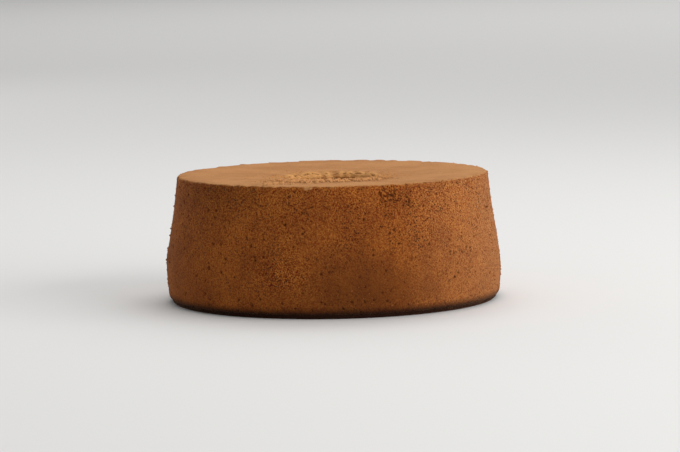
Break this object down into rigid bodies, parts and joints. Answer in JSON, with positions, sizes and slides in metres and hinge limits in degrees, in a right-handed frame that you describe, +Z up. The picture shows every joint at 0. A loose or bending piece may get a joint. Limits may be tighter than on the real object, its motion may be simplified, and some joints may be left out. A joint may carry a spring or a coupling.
{
  "type": "orange chiffon cake",
  "caption": "Whole ring-shaped sponge cake from a tube pan, turned out narrow side up, with a porous brown skin and a ragged hole through the middle.",
  "frame": {"origin": "centre of the flat face that the cake rests on, on the axis of the hole", "axes": "+Z up along the axis of the hole; the view that shows it best looks along +Y"},
  "size_m": [0.2492, 0.2498, 0.0948],
  "materials": {
    "baked_skin": "matte, finely porous browned skin of a baked sponge; tan and smooth on top, darker and more porous down the side"
  },
  "bodies": {
    "root": {"chiffon_cake": "baked_skin"}
  },
  "joints": []
}
